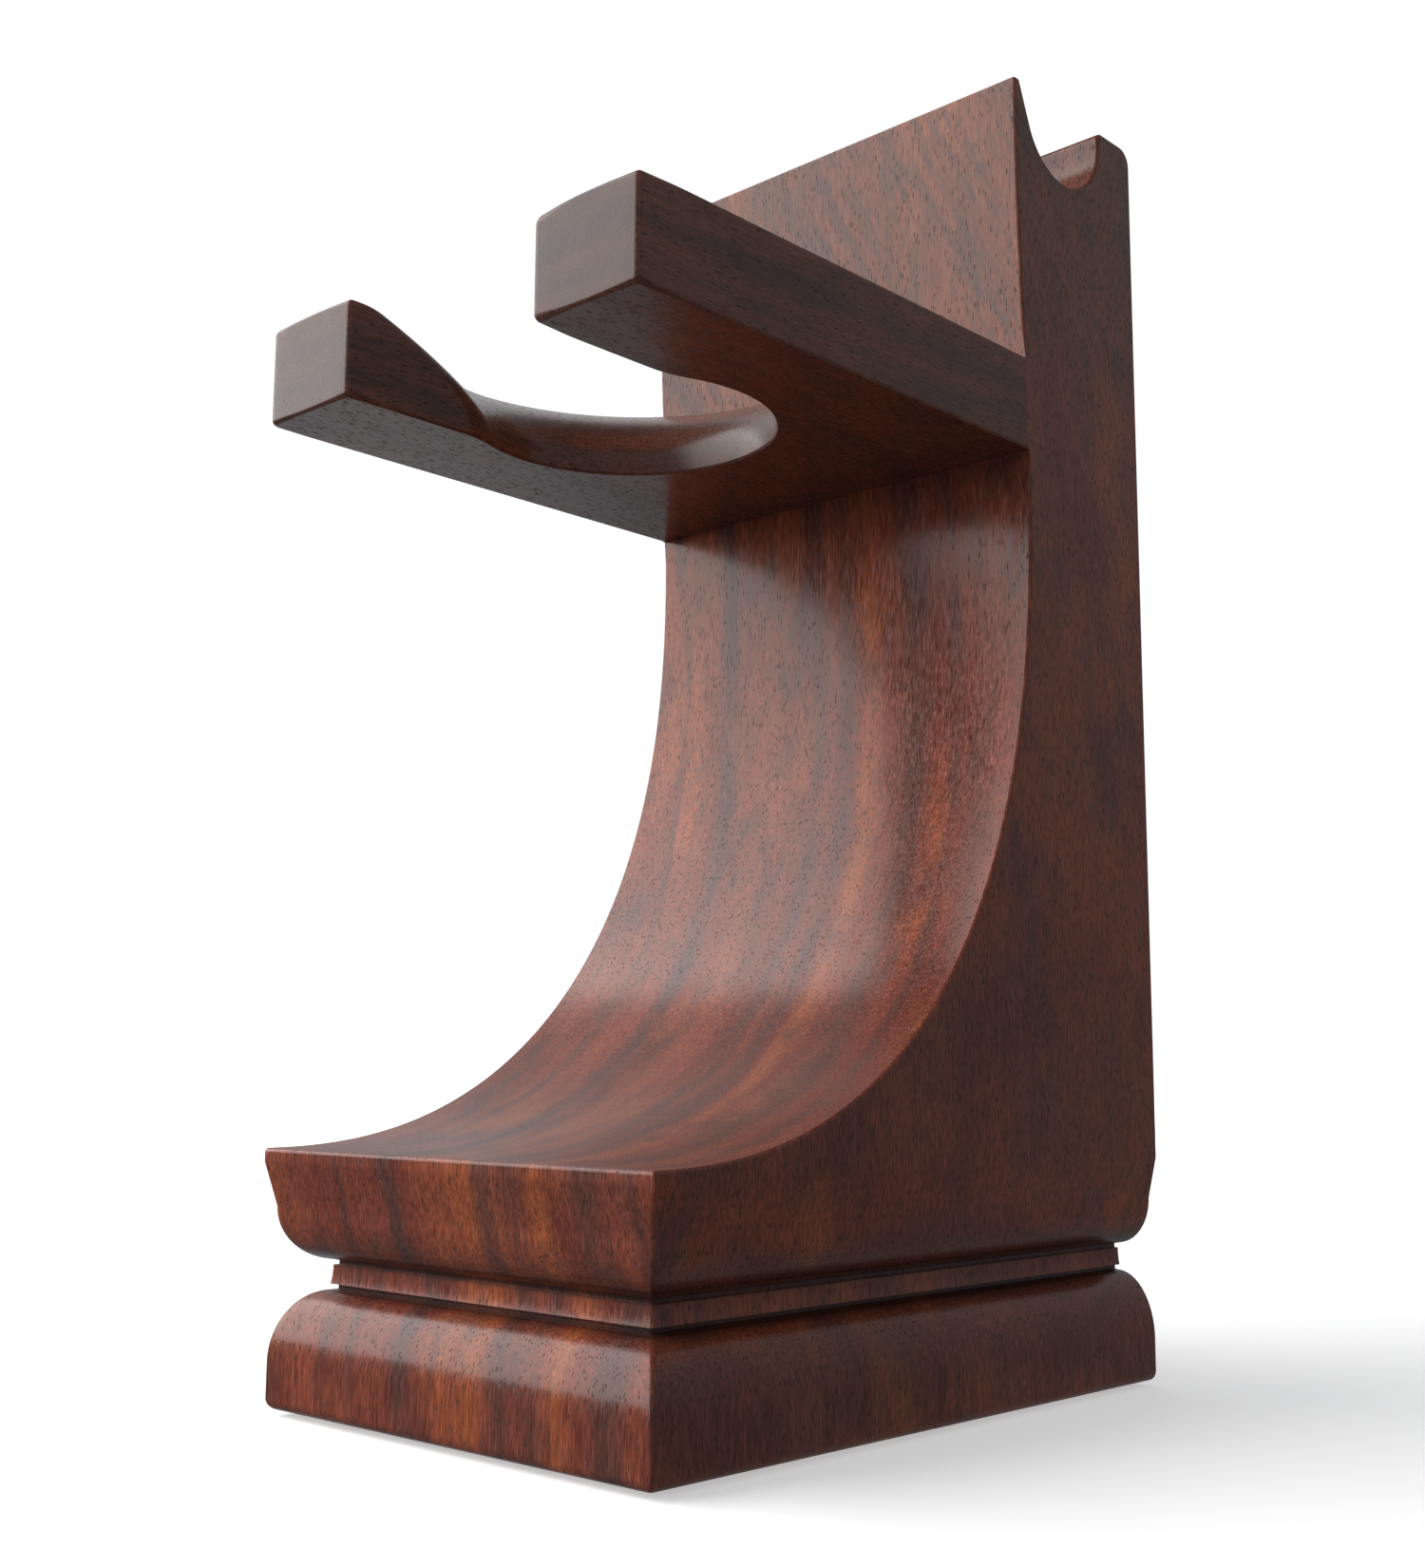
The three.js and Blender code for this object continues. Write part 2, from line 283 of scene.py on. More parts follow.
def dowel_cutter(node, side):
    """A round cutter along Y over one half of a dowel's hole; side is +1 behind the joint."""
    low, high = box_mm(node)
    bm = bmesh.new()
    length = (high.y - low.y) / 2 + FIT_GAP
    radius = (high.x - low.x) / 2 + FIT_GAP
    middle = (low + high) / 2
    matrix = (Matrix.Translation((middle.x, middle.y + side * (length - 1) / 2, middle.z))
              @ Matrix.Rotation(math.pi / 2, 4, "X"))
    bmesh.ops.create_cone(bm, cap_ends=True, segments=40, radius1=radius, radius2=radius,
                          depth=length + 1, matrix=matrix)
    bmesh.ops.scale(bm, vec=Vector((MM, MM, MM)), verts=bm.verts)
    mesh = bpy.data.meshes.new("cutter")
    bm.to_mesh(mesh)
    bm.free()
    obj = bpy.data.objects.new("cutter", mesh)
    bpy.context.scene.collection.objects.link(obj)
    return obj


PADS = ["felt_pad_front_left", "felt_pad_back_left", "felt_pad_front_right", "felt_pad_back_right"]
DOWELS = ["fork_dowel_left", "fork_dowel_right"]
CORNER_STEPS = 5
WIDTH_STEPS = 36
SIDE_STEPS = 52


def ring_points(inset, z):
    """One level of the moulded base: a rectangle in plan with softened corners, from the
    front-left corner along the front, right side, back and left side."""
    x = HALF - inset - EDGE
    front, back = FRONT + inset + EDGE, BACK - EDGE
    points = [(-x + EDGE * math.cos(math.radians(a)), front + EDGE * math.sin(math.radians(a)))
              for a in [180 + 90 * i / CORNER_STEPS for i in range(CORNER_STEPS + 1)]]
    points += [(-x + 2 * x * i / WIDTH_STEPS, front - EDGE) for i in range(1, WIDTH_STEPS)]
    points += arc(x, front, EDGE, EDGE, 270, 360, CORNER_STEPS)
    points += line((x + EDGE, front), (x + EDGE, back), SIDE_STEPS)[1:-1]
    points += arc(x, back, EDGE, EDGE, 0, 90, CORNER_STEPS)
    points += line((x, back + EDGE), (-x, back + EDGE), WIDTH_STEPS)[1:-1]
    points += arc(-x, back, EDGE, EDGE, 90, 180, CORNER_STEPS)
    points += line((-x - EDGE, back), (-x - EDGE, front), SIDE_STEPS)[1:-1]
    return [(px, py, z) for px, py in points]


def build_body(material):
    bm = bmesh.new()
    rings = [[bm.verts.new(p) for p in ring_points(d, z)] for d, z in moulding()]
    for low, high in zip(rings, rings[1:]):
        for i in range(len(low)):
            j = (i + 1) % len(low)
            bm.faces.new((low[i], low[j], high[j], high[i]))

    # underside, with a recess for each felt pad
    bottom = rings[0]
    edges = [bm.edges.get((bottom[i], bottom[(i + 1) % len(bottom)])) for i in range(len(bottom))]
    for node in PADS:
        low, high = box_mm(node)
        middle = (low + high) / 2
        radius = (high.x - low.x) / 2 + FIT_GAP
        circle = arc(middle.x, middle.y, radius, radius, 0, 360, 48)[:-1]
        mouth = [bm.verts.new((x, y, FOOT)) for x, y in circle]
        roof = [bm.verts.new((x, y, high.z + FIT_GAP)) for x, y in circle]
        for i in range(len(mouth)):
            j = (i + 1) % len(mouth)
            bm.faces.new((mouth[i], roof[i], roof[j], mouth[j]))
            edges.append(bm.edges.get((mouth[i], mouth[j])))
        bm.faces.new(roof)
    bmesh.ops.triangle_fill(bm, use_beauty=True, edges=edges)

    # column: rows across the width, each ending in a softened edge at both sides
    points = column_line()
    corner = CORNER_STEPS
    top_ring = rings[-1]
    front_count = 2 * corner + WIDTH_STEPS + 1
    rows = [top_ring[:front_count]]
    for i in range(1, len(points) - 1):
        y, z = points[i]
        n = outward(points[i - 1], points[i], points[i + 1])
        away = min(abs(z - fork_low.z), abs(z - fork_high.z)) / 3
        at_joint = fork_low.z <= z <= fork_high.z and y < JOINT + 2
        edge = JOINT_EDGE if at_joint else JOINT_EDGE + (EDGE - JOINT_EDGE) * min(away, 1)
        if y > JOINT + 3:
            edge = EDGE
        side = []
        for k in range(corner + 1):
            a = math.radians(90 * k / corner)
            inset = edge * (1 - math.cos(a))
            side.append((HALF - edge + edge * math.sin(a), y - inset * n.x, z - inset * n.y))
        across = [(-(HALF - edge) + 2 * (HALF - edge) * k / WIDTH_STEPS, y, z)
                  for k in range(1, WIDTH_STEPS)]
        left = [(-x, py, pz) for x, py, pz in reversed(side)]
        rows.append([bm.verts.new(p) for p in left + across + side])
    start = front_count + SIDE_STEPS - 1
    rows.append(list(reversed(top_ring[start:start + front_count])))
    for low, high in zip(rows, rows[1:]):
        for i in range(len(low) - 1):
            bm.faces.new((low[i], low[i + 1], high[i + 1], high[i]))
    right_side = top_ring[front_count:start]
    left_side = top_ring[start + front_count:]
    bm.faces.new([row[-1] for row in rows] + list(reversed(right_side)))
    bm.faces.new([row[0] for row in reversed(rows)] + list(reversed(left_side)))
    obj = new_object("stand_block", bm, material)
    return bored(obj, [dowel_cutter(node, 1) for node in DOWELS])


def pocket_radius(z):
    t = max(z - fork_low.z, 0) / (fork_high.z - fork_low.z)
    return POCKET_RADIUS + POCKET_FLARE * t ** POCKET_FLARE_POWER


# plan corners of the two prongs: (outer, inner) rounds, left and right
LEFT_ROUNDS = (1.1, 0.6)
RIGHT_ROUNDS = (0.6, 0.8)


def fork_outline(z):
    """Plan of the fork at one height, anticlockwise from the right-hand tip."""
    radius = pocket_radius(z)
    lip = math.sqrt(radius ** 2 - MOUTH ** 2)
    lip_y = POCKET_Y - lip
    lo, li = LEFT_ROUNDS
    ro, ri = RIGHT_ROUNDS
    back = JOINT - GLUE_LINE
    blend = LIP_BLEND
    turn = math.degrees(blend / radius)
    start = 180 + math.degrees(math.asin(lip / radius))
    wall_end_left = (-MOUTH, lip_y - blend)
    wall_end_right = (MOUTH, lip_y - blend)
    pocket = arc(0, POCKET_Y, radius, radius, start - turn, 180 - start + turn, 56)

    def lip_blend(a, corner, b):
        return [tuple(Vector(a) * (1 - t) ** 2 + Vector(corner) * 2 * t * (1 - t)
                      + Vector(b) * t * t) for t in (0.12, 0.25, 0.38, 0.5, 0.62, 0.75, 0.88)]

    return (
        line((HALF, TIP + ro), (HALF, back), 34)[:-1]
        + line((HALF, back), (-HALF, back), 24)[:-1]
        + line((-HALF, back), (-HALF, TIP + lo), 34)[:-1]
        + arc(-HALF + lo, TIP + lo, lo, lo, 180, 270, 6)[:-1]
        + line((-HALF + lo, TIP), (-MOUTH - li, TIP), 8)[:-1]
        + arc(-MOUTH - li, TIP + li, li, li, 270, 360, 6)[:-1]
        + line((-MOUTH, TIP + li), wall_end_left, 12)
        + lip_blend(wall_end_left, (-MOUTH, lip_y), pocket[0])
        + pocket
        + lip_blend(pocket[-1], (MOUTH, lip_y), wall_end_right)
        + line(wall_end_right, (MOUTH, TIP + ri), 12)[:-1]
        + arc(MOUTH + ri, TIP + ri, ri, ri, 180, 270, 6)[:-1]
        + line((MOUTH + ri, TIP), (HALF - ro, TIP), 8)[:-1]
        + arc(HALF - ro, TIP + ro, ro, ro, 270, 360, 6)[:-1]
    )


def worn(p, corner):
    """How much the handling near a corner has rounded the edge at p, from 0 to 1."""
    return math.exp(-(math.dist(p, corner) / 3.2) ** 2)


def build_fork(material):
    bm = bmesh.new()
    count = len(fork_outline(fork_low.z))
    back = JOINT - GLUE_LINE

    def level(height, angle, at_top):
        """One loop of vertices on a rounded edge. The rounds differ along the outline, so each
        vertex has its own height; angle is 0 on the walls and 90 on the flat faces."""
        verts = []
        plan = fork_outline(height)
        for i, (x, y) in enumerate(plan):
            outer = worn((abs(x), y), (HALF, TIP))
            inner = worn((x, y), (-MOUTH, TIP)) + 2.4 * worn((x, y), (MOUTH, TIP))
            in_pocket = math.dist((x, y), (0, POCKET_Y)) < pocket_radius(height) + 0.01
            r = 0.28 if in_pocket else EDGE + (0.35 if at_top else 0.2) * (outer + inner)
            a = math.radians(angle)
            inset = r * (1 - math.cos(a))
            drop = r * (1 - math.sin(a))
            z = fork_high.z - drop if at_top else fork_low.z + drop
            here = fork_outline(z)
            n = -outward(here[i - 1], here[i], here[(i + 1) % count])
            if abs(here[i][1] - back) < 1e-6:
                at_side = abs(abs(x) - HALF) < 1e-6
                n = Vector((math.copysign(1, x) if at_side else 0, 0))
            verts.append(bm.verts.new((here[i][0] - inset * n.x, here[i][1] - inset * n.y, z)))
        return verts

    levels = [level(fork_low.z, a, False) for a in (90, 70, 50, 32, 15, 0)]
    low, high = fork_low.z + 1.0, fork_high.z - 1.2
    levels += plain_levels(bm, low, high, 13)
    levels += [level(fork_high.z, a, True) for a in (0, 15, 32, 50, 70, 90)]
    for under, over in zip(levels, levels[1:]):
        for i in range(count):
            j = (i + 1) % count
            bm.faces.new((under[i], under[j], over[j], over[i]))
    bm.faces.new(list(reversed(levels[0])))
    bm.faces.new(levels[-1])
    obj = new_object("fork_board", bm, material)
    return bored(obj, [dowel_cutter(node, -1) for node in DOWELS])


def plain_levels(bm, low, high, steps):
    """Loops up the fork's walls, between the rounded edges."""
    return [[bm.verts.new((x, y, z)) for x, y in fork_outline(z)]
            for z in [low + (high - low) * i / (steps - 1) for i in range(steps)]]


def build_pad(node, material, seed):
    """A felt disc with a soft, slightly uneven rim."""
    low, high = box_mm(node)
    middle = (low + high) / 2
    radius = (high.x - low.x) / 2
    soft = 0.35
    profile = [(0.0, low.z), (radius * 0.4, low.z), (radius * 0.75, low.z)]
    profile += arc(radius - soft, low.z + soft, soft, soft, 270, 360, 5)
    profile += arc(radius - soft, high.z - soft, soft, soft, 0, 90, 5)
    profile += [(radius * 0.75, high.z), (radius * 0.4, high.z), (0.0, high.z)]
    bm = bmesh.new()
    segments = 72
    rings = []
    for r, z in profile:
        ring = []
        for i in range(segments):
            a = 2 * math.pi * i / segments
            fuzz = noise.noise(Vector((3 * math.cos(a), 3 * math.sin(a), z + 7.0 * seed)))
            rr = r * (1 - 0.012 * (1 + fuzz) * (r / radius) ** 4)
            ring.append(bm.verts.new((middle.x + rr * math.cos(a), middle.y + rr * math.sin(a), z)))
        rings.append(ring)
    for under, over in zip(rings, rings[1:]):
        for i in range(segments):
            j = (i + 1) % segments
            bm.faces.new((under[i], under[j], over[j], over[i]))
    return new_object(node.replace("felt_pad", "felt_disc"), bm, material, 180)


# ---------------------------------------------------------------- materials
class Shader:
    """A short way to write a material's node tree."""

    def __init__(self, name):
        self.material = bpy.data.materials.new(name)
        self.material.use_nodes = True
        self.tree = self.material.node_tree
        self.surface = self.tree.nodes["Principled BSDF"]

    def add(self, kind, inputs=None, **settings):
        node = self.tree.nodes.new(kind)
        for key, value in settings.items():
            setattr(node, key, value)
        for key, value in (inputs or {}).items():
            self.put(node.inputs[key], value)
        return node

    def put(self, socket, value):
        if isinstance(value, bpy.types.NodeSocket):
            self.tree.links.new(value, socket)
        else:
            socket.default_value = value

    def math(self, operation, a, b=0.0, c=0.0):
        return self.add("ShaderNodeMath", {0: a, 1: b, 2: c}, operation=operation).outputs[0]

    def ramp(self, value, low, high, to_low=0.0, to_high=1.0, smooth=True):
        kind = "SMOOTHSTEP" if smooth else "LINEAR"
        node = self.add("ShaderNodeMapRange", {0: value, 1: low, 2: high, 3: to_low, 4: to_high},
                        interpolation_type=kind)
        return node.outputs[0]

    def stretched(self, vector, scale):
        node = self.add("ShaderNodeVectorMath", {0: vector, 1: scale}, operation="MULTIPLY")
        return node.outputs[0]

    def noise(self, vector, detail=2.0, roughness=0.5, distortion=0.0):
        node = self.add("ShaderNodeTexNoise", {"Vector": vector, "Scale": 1.0, "Detail": detail,
                                               "Roughness": roughness, "Distortion": distortion})
        return node.outputs["Fac"]

    def mix(self, factor, a, b):
        node = self.add("ShaderNodeMix", data_type="RGBA", blend_type="MIX")
        self.put(node.inputs["Factor"], factor)
        self.put(node.inputs["A"], a)
        self.put(node.inputs["B"], b)
        return node.outputs["Result"]

    def place_mm(self):
        """Position on the object, in millimetres of the part's frame."""
        coords = self.add("ShaderNodeTexCoord").outputs["Object"]
        return self.stretched(coords, (1 / MM, 1 / MM, 1 / MM))

    def bump(self, height, distance, below=None):
        """A bump of the given height in metres, on top of another one or none."""
        inputs = {"Height": height, "Strength": 1.0, "Distance": distance}
        if below is not None:
            inputs["Normal"] = below
        return self.add("ShaderNodeBump", inputs).outputs["Normal"]


def rgb(r, g, b):
    return (r, g, b, 1.0)


RIPPLE = 2.4                    # how far the growth layers waver, in millimetres
SMOKE_COVER = 0.88
PORE_COVER = 0.70
SWELL_HEIGHT = 0.00006          # bump heights, in metres
FIBRE_HEIGHT = 0.000012
PORE_HEIGHT = 0.00003
CROWN_BEND = 15.0               # how far the layers drift across in the upright, in millimetres
CROWN_SLOPE = 2.0               # and how steeply that bend runs down towards the back
UPRIGHT_DRYNESS = 0.4
UPRIGHT_STREAKS = 0.75
UPRIGHT_TONE = (0.170, 0.066, 0.034, 1.0)
# strength of the painted shade in the neck's grooves and of the painted light on its band
NECK_GROOVE_PAINTED_SHADE = 0.55
NECK_BAND_PAINTED_LIGHT = 0.35


def layers(s, q, places, offset, core):
    """The strongest of several layers. places are (place, half width, strength)."""
    total = None
    for centre, half, strength in places:
        away = s.math("ABSOLUTE", s.math("SUBTRACT", q, centre + offset))
        layer = s.ramp(away, half * core, half * 1.5, strength, 0.0)
        total = layer if total is None else s.math("MAXIMUM", total, layer)
    return total


def neck_painted_shade_and_light(s, xyz, light):
    """Painted shade darkens the fine grooves of the moulding and the underside just above them,
    and painted light brightens the band between them. The plain back face is left out."""
    height = xyz["Z"]
    moulded = s.ramp(xyz["Y"], BACK - 1.2, BACK - 0.4, 1.0, 0.0)
    # painted shade: darker in the grooves and under the round above the neck
    upper = s.math("MULTIPLY", s.ramp(height, NECK_TOP - 0.55, NECK_TOP - 0.2),
                   s.ramp(height, NECK_TOP + 0.4, NECK_TOP + 1.9, NECK_GROOVE_PAINTED_SHADE, 0.0))
    lower = s.math("MULTIPLY", s.ramp(height, NECK_BOTTOM - 0.5, NECK_BOTTOM),
                   s.ramp(height, NECK_BOTTOM + 0.3, NECK_BOTTOM + 0.6, NECK_GROOVE_PAINTED_SHADE, 0.0))
    groove_painted_shade = s.math("MULTIPLY", s.math("MAXIMUM", upper, lower), moulded)
    light = s.math("MULTIPLY", light, s.math("SUBTRACT", 1.0, groove_painted_shade))
    # painted light: the band between the grooves is made brighter
    band_painted_light = s.math("MULTIPLY", s.ramp(height, NECK_BOTTOM + 0.4, NECK_BOTTOM + 0.7),
                    s.ramp(height, NECK_TOP - 0.8, NECK_TOP - 0.5, NECK_BAND_PAINTED_LIGHT, 0.0))
    return s.math("MULTIPLY", light, s.math("MULTIPLY_ADD", band_painted_light, moulded, 1.0))


def rosewood(name, along, across, lean, bands, embers, tones, shift, carved):
    """Oiled rosewood. along and across name the axes of the grain and of the growth layers, and
    lean is how much the layers drift across for each millimetre along. bands are (place, half
    width, strength) of the smoky dark layers, in millimetres across, and embers the same for
    the bright orange ones. carved adds the block's own upright and moulding."""
    s = Shader(name)
    place = s.place_mm()
    xyz = s.add("ShaderNodeSeparateXYZ", {0: place}).outputs
    third = ({"X", "Y", "Z"} - {along, across}).pop()
    grain = s.add("ShaderNodeCombineXYZ",
                  {"X": xyz[across], "Y": xyz[third], "Z": xyz[along]}).outputs[0]
    grain = s.add("ShaderNodeVectorMath", {0: grain, 1: shift}, operation="ADD").outputs[0]

    # q counts the growth layers, which wander a little along the grain
    wander = s.noise(s.stretched(grain, (0.02, 0.03, 0.012)), detail=2)
    ripple = s.noise(s.stretched(grain, (0.12, 0.10, 0.06)), detail=3)
    split = s.add("ShaderNodeSeparateXYZ", {0: grain}).outputs
    q = s.math("MULTIPLY_ADD", split["Z"], lean, split["X"])
    q = s.math("MULTIPLY_ADD", s.math("SUBTRACT", wander, 0.5), tones["wander"], q)
    q = s.math("MULTIPLY_ADD", s.math("SUBTRACT", ripple, 0.5), RIPPLE, q)
    if carved:
        crown = s.math("MULTIPLY_ADD", s.math("SUBTRACT", xyz["Y"], JOINT), CROWN_SLOPE, xyz["Z"])
        q = s.math("ADD", q, s.ramp(crown, fork_high.z - 12, TOP + 10, 0.0, CROWN_BEND))
    layer = s.add("ShaderNodeCombineXYZ", {"X": q}).outputs[0]
    layer = s.add("ShaderNodeVectorMath", {0: layer, 1: s.stretched(grain, (0, 0.10, 0.05))},
                  operation="ADD").outputs[0]
    broad = s.noise(s.stretched(layer, (0.20, 0.6, 0.6)), detail=3, roughness=0.6)
    lines = s.noise(s.stretched(layer, (1.3, 1.0, 1.0)), detail=3, roughness=0.6)

    # smoky and orange layers, broken up along the grain, and patches of both between them
    offset = shift[0] + lean * shift[2]
    patch = s.noise(s.stretched(grain, (0.30, 0.16, 0.085)), detail=4, roughness=0.62)
    smoke = s.math("MULTIPLY", layers(s, q, bands, offset, 0.1),
                   s.ramp(patch, 0.32, 0.58, 0.45, 1.0))
    cloud = s.noise(s.stretched(grain, (0.20, 0.14, 0.08)), detail=3, roughness=0.6)
    smoke = s.math("MAXIMUM", smoke, s.ramp(cloud, 0.48, 0.70, 0.0, tones["cloud"]))
    ember = s.math("MULTIPLY", layers(s, q, embers, offset, 0.0),
                   s.ramp(patch, 0.30, 0.60, 1.0, 0.45))
    warmth = s.noise(s.stretched(grain, (0.11, 0.10, 0.045)), detail=3)
    ember = s.math("MAXIMUM", ember, s.ramp(warmth, 0.52, 0.72, 0.0, 0.55))

    fibre = s.noise(s.stretched(grain, (2.3, 2.3, 0.12)), detail=4, roughness=0.7)
    grit = s.noise(s.stretched(grain, (5.0, 5.0, 0.5)), detail=2, roughness=0.6)

    # open pores: short dashes along the grain, scattered and of different sizes
    cells = s.add("ShaderNodeTexVoronoi",
                  {"Vector": s.stretched(grain, (4.4, 4.4, 0.9)), "Scale": 1.0}).outputs
    luck = s.add("ShaderNodeSeparateXYZ", {0: cells["Color"]}).outputs["X"]
    size = s.ramp(luck, 0.15, 1.0, 0.0, 0.42, smooth=False)
    pore = s.ramp(s.math("SUBTRACT", cells["Distance"], size), -0.12, 0.0, 1.0, 0.0)

    colour = s.mix(s.ramp(broad, 0.32, 0.68), tones["deep"], tones["warm"])
    colour = s.mix(ember, colour, tones["orange"])
    colour = s.mix(s.ramp(lines, 0.42, 0.70, 0.0, 0.25), colour, tones["umber"])
    colour = s.mix(s.math("MULTIPLY", smoke, SMOKE_COVER), colour, tones["dark"])
    if carved:
        # the upright is a little drier and browner than the rest
        dry = s.ramp(xyz["Z"], fork_high.z - 2, fork_high.z + 5)
        colour = s.mix(s.math("MULTIPLY", dry, UPRIGHT_DRYNESS), colour, UPRIGHT_TONE)
        streak = s.noise(s.stretched(layer, (1.1, 1.4, 2.0)), detail=4, roughness=0.65)
        streak = s.math("MULTIPLY", dry, s.ramp(streak, 0.42, 0.66, 0.0, UPRIGHT_STREAKS))
        colour = s.mix(streak, colour, tones["dark"])
    light = s.ramp(fibre, 0.25, 0.75, 0.72, 1.28, smooth=False)
    light = s.math("MULTIPLY", light, s.ramp(grit, 0.30, 0.70, 0.58, 1.42, smooth=False))

    # the ends of the grain drink more oil: darker and closed
    facing = s.add("ShaderNodeSeparateXYZ",
                   {0: s.add("ShaderNodeTexCoord").outputs["Normal"]}).outputs[along]
    end_grain = s.ramp(s.math("ABSOLUTE", facing), 0.6, 1.0)
    light = s.math("MULTIPLY", light, s.math("MULTIPLY_ADD", end_grain, tones["ends"] - 1.0, 1.0))
    pore = s.math("MULTIPLY", pore, s.math("MULTIPLY_ADD", end_grain, -0.75, 1.0))
    # painted shade in the neck moulding's grooves and painted light on its band
    if carved:
        light = neck_painted_shade_and_light(s, xyz, light)
    colour = s.add("ShaderNodeVectorMath", {0: colour, "Scale": light},
                   operation="SCALE").outputs[0]
    colour = s.mix(s.math("MULTIPLY", pore, PORE_COVER), colour, tones["pore"])
    s.put(s.surface.inputs["Base Color"], colour)

    rough = s.ramp(fibre, 0.2, 0.8, tones["rough"] - 0.04, tones["rough"] + 0.06, smooth=False)
    rough = s.math("MULTIPLY_ADD", s.math("SUBTRACT", grit, 0.5), 0.45, rough)
    rough = s.math("MULTIPLY_ADD", end_grain, 0.10, rough)
    rough = s.math("MULTIPLY_ADD", pore, 0.30, rough)
    if carved:
        rough = s.math("MULTIPLY_ADD", dry, 0.06, rough)
    s.put(s.surface.inputs["Roughness"], rough)
    s.surface.inputs["Specular IOR Level"].default_value = tones["gloss"]

    swell = s.noise(s.stretched(grain, (0.20, 0.20, 0.10)), detail=1)
    normal = s.bump(swell, SWELL_HEIGHT)
    normal = s.bump(s.math("ADD", s.math("MULTIPLY", fibre, 0.4), s.math("MULTIPLY", grit, 0.7)),
                    FIBRE_HEIGHT, below=normal)
    normal = s.bump(s.math("MULTIPLY", pore, -1.0), PORE_HEIGHT, below=normal)
    s.put(s.surface.inputs["Normal"], normal)
    return s.material


BLOCK_TONES = {
    "deep": rgb(0.185, 0.042, 0.025), "warm": rgb(0.280, 0.068, 0.036),
    "orange": rgb(0.400, 0.110, 0.034), "umber": rgb(0.130, 0.035, 0.023),
    "dark": rgb(0.086, 0.039, 0.034), "pore": rgb(0.022, 0.010, 0.009),
    "cloud": 0.7, "rough": 0.19, "gloss": 0.32, "ends": 0.78, "wander": 3.5,
}
BOARD_TONES = {
    "deep": rgb(0.110, 0.038, 0.025), "warm": rgb(0.180, 0.055, 0.032),
    "orange": rgb(0.200, 0.060, 0.030), "umber": rgb(0.070, 0.028, 0.021),
    "dark": rgb(0.050, 0.028, 0.025), "pore": rgb(0.018, 0.010, 0.009),
    "cloud": 0.5, "rough": 0.19, "gloss": 0.34, "ends": 0.5, "wander": 4.0,
}


def beech(name):
    """Bare turned beech with short flecks along the dowel."""
    s = Shader(name)
    place = s.place_mm()
    streak = s.noise(s.stretched(place, (2.2, 0.08, 2.2)), detail=3)
    fleck = s.ramp(s.noise(s.stretched(place, (5.0, 0.7, 5.0)), detail=1), 0.62, 0.72)
    colour = s.mix(streak, rgb(0.42, 0.26, 0.13), rgb(0.60, 0.42, 0.24))
    colour = s.mix(s.math("MULTIPLY", fleck, 0.5), colour, rgb(0.27, 0.14, 0.06))
    s.put(s.surface.inputs["Base Color"], colour)
    s.put(s.surface.inputs["Roughness"], s.ramp(streak, 0, 1, 0.62, 0.78, smooth=False))
    s.put(s.surface.inputs["Normal"], s.bump(streak, 0.00004))
    return s.material


def felt(name):
    """Pressed wool felt: matted fibres in near-black brown."""
    s = Shader(name)
    place = s.place_mm()
    mat_a = s.noise(s.stretched(place, (7.0, 2.2, 4.0)), detail=4, distortion=1.4)
    mat_b = s.noise(s.stretched(place, (2.0, 6.5, 4.0)), detail=4, distortion=1.4)
    fuzz = s.math("MAXIMUM", mat_a, mat_b)
    colour = s.mix(s.ramp(fuzz, 0.4, 0.75), rgb(0.016, 0.013, 0.011), rgb(0.052, 0.044, 0.038))
    s.put(s.surface.inputs["Base Color"], colour)
    s.put(s.surface.inputs["Roughness"], s.ramp(fuzz, 0.3, 0.8, 0.98, 0.88))
    s.surface.inputs["Sheen Weight"].default_value = 0.35
    s.put(s.surface.inputs["Normal"], s.bump(fuzz, 0.00025))
    return s.material


# ---------------------------------------------------------------- the object
# the block's layers are placed in millimetres from its middle, at the height of the rest surface
block_wood = rosewood("rosewood_block", "Z", "X", 0.12,
                      [(-5.1, 1.7, 1.0), (-13.1, 0.8, 0.7), (8.7, 1.6, 0.8), (12.4, 1.6, 0.75),
                       (21.8, 2.6, 0.9), (27.2, 1.0, 0.7), (31.0, 1.4, 0.45)],
                      [(15.8, 1.4, 0.9), (1.0, 2.2, 0.45), (37.5, 2.2, 0.3)],
                      BLOCK_TONES, (0.0, 0.0, 0.0), True)
board_wood = rosewood("rosewood_board", "Y", "Z", 0.0, [(104.5, 1.3, 0.6), (100.6, 0.7, 0.5)],
                      [(98.0, 1.0, 0.5)], BOARD_TONES, (37.0, 11.0, 5.0), False)
felt_cloth = felt("felt")
beech_wood = beech("beech")

body = weighted(build_body(block_wood))
fork = weighted(build_fork(board_wood))
finished = [(body, "stand_body", "rosewood_block"), (fork, "brush_fork", "rosewood_board")]
for number, node in enumerate(PADS):
    finished.append((build_pad(node, felt_cloth, number), node, "felt"))
for piece, node, slot in finished:
    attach(piece, "root")
    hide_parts(node)
for node in DOWELS:
    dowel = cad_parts[node]
    dowel.data.materials.clear()
    dowel.data.materials.append(beech_wood)


